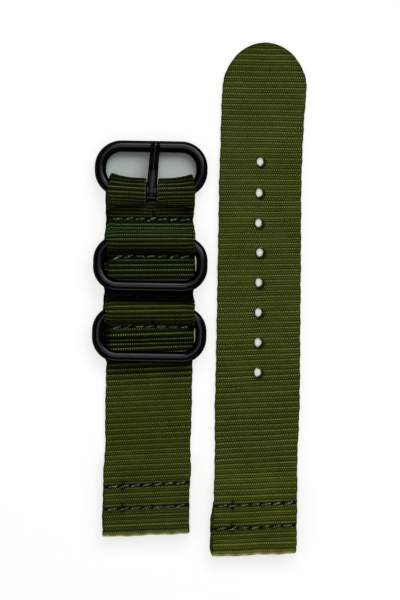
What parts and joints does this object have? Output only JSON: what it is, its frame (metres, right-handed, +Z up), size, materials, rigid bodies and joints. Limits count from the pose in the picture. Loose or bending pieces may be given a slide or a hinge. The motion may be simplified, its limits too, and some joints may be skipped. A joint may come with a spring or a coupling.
{
  "type": "nato watch strap",
  "caption": "Two-piece ribbed nylon watch strap with a wire buckle, a tongue and wire keeper rings, laid flat.",
  "frame": {"origin": "under the middle of the whole strap's bounding box, on the surface that it lies on", "axes": "+Y along both pieces, from the spring bar loops to the buckle and the tip; +X across, from the buckle piece to the tail; +Z up"},
  "size_m": [0.053, 0.1308, 0.0078],
  "materials": {
    "webbing": "olive green ribbed nylon weave",
    "hardware": "black satin plating on steel wire",
    "thread": "dark green polyester thread"
  },
  "bodies": {
    "buckle_strap": {"buckle_strap_webbing": "webbing", "buckle_fold_seam": "thread", "upper_keeper_seam": "thread", "between_keepers_seam": "thread", "lower_keeper_seam": "thread", "buckle_loop_inner_seam": "thread", "buckle_loop_outer_seam": "thread"},
    "tail_strap": {"tail_strap_webbing": "webbing", "tail_loop_inner_seam": "thread", "tail_loop_outer_seam": "thread"},
    "frame": {"buckle_frame": "hardware"},
    "tongue": {"buckle_tongue": "hardware"},
    "upper_keeper": {"upper_keeper_ring": "hardware"},
    "lower_keeper": {"lower_keeper_ring": "hardware"}
  },
  "joints": [
    {"name": "frame_hinge", "type": "hinge", "parent": "buckle_strap", "child": "frame", "pos_m": [-0.01192, 0.02685, 0.00285], "axis": [1, 0, 0], "range_deg": [0, 60]},
    {"name": "tongue_hinge", "type": "hinge", "parent": "frame", "child": "tongue", "pos_m": [-0.01192, 0.02685, 0.00285], "axis": [1, 0, 0], "range_deg": [0, 75]},
    {"name": "upper_keeper_hinge", "type": "hinge", "parent": "buckle_strap", "child": "upper_keeper", "pos_m": [-0.01192, 0.01415, 0.00275], "axis": [-1, 0, 0], "range_deg": [0, 100]},
    {"name": "lower_keeper_hinge", "type": "hinge", "parent": "buckle_strap", "child": "lower_keeper", "pos_m": [-0.01192, -0.00375, 0.00275], "axis": [-1, 0, 0], "range_deg": [0, 100]},
    {"name": "tail_lift", "type": "slide", "parent": "buckle_strap", "child": "tail_strap", "axis": [0, 0, 1], "range_m": [0, 0.03]}
  ]
}
